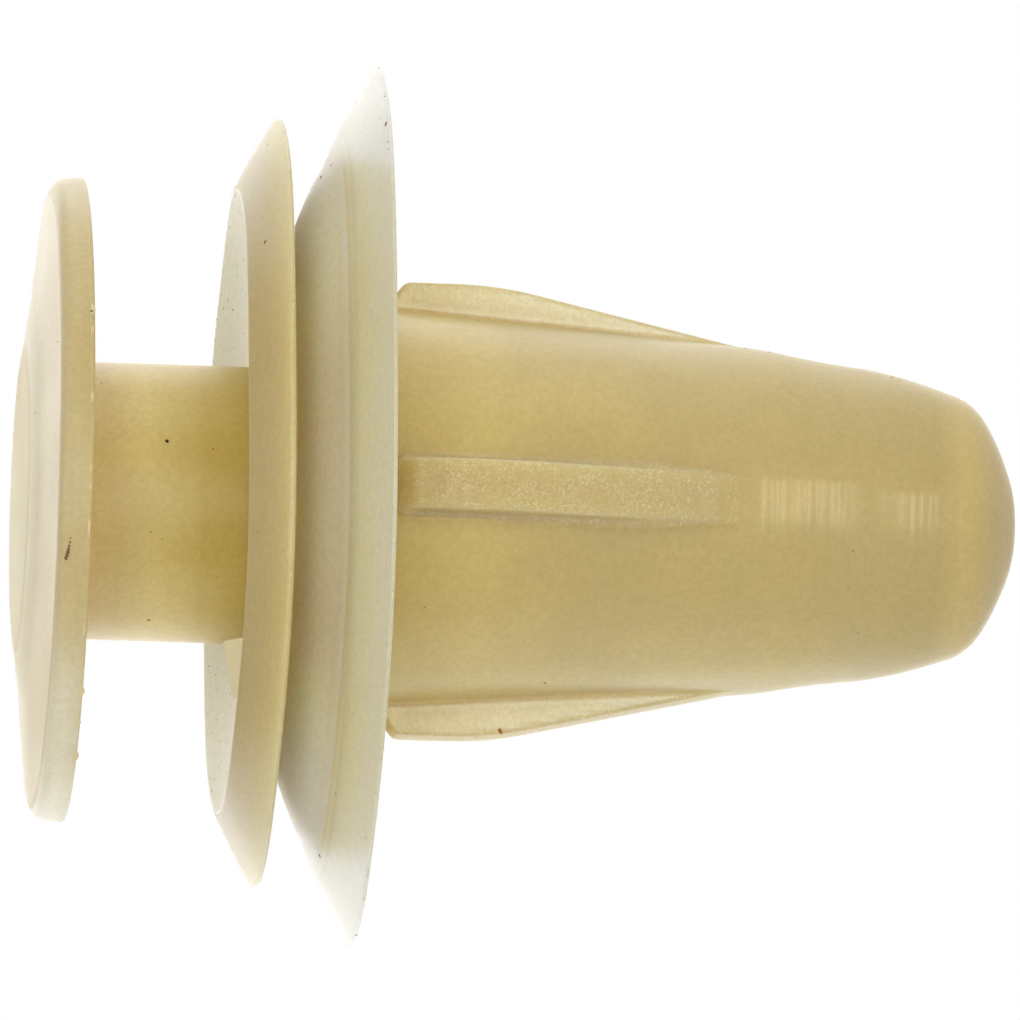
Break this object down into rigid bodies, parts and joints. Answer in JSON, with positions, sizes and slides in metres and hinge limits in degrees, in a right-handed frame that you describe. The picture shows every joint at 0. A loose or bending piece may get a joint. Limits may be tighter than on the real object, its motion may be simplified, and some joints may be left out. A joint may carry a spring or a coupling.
{
  "type": "trim panel retainer",
  "caption": "Moulded push-in clip: a round head and neck slide into a panel's boss, and a finned, tapering shank presses into a sheet-metal hole behind a dished collar and an umbrella seal.",
  "frame": {"origin": "centre of the flat in the middle of the head, which the clip stands on", "axes": "+Z along the clip's axis from the head to the nose; the fins lie along X and Y"},
  "size_m": [0.0194, 0.0194, 0.0221],
  "materials": {
    "nylon": "natural nylon as moulded, satin, a little translucent, with a spark-eroded grain on the fins"
  },
  "bodies": {
    "root": {"retainer": "nylon"}
  },
  "joints": []
}
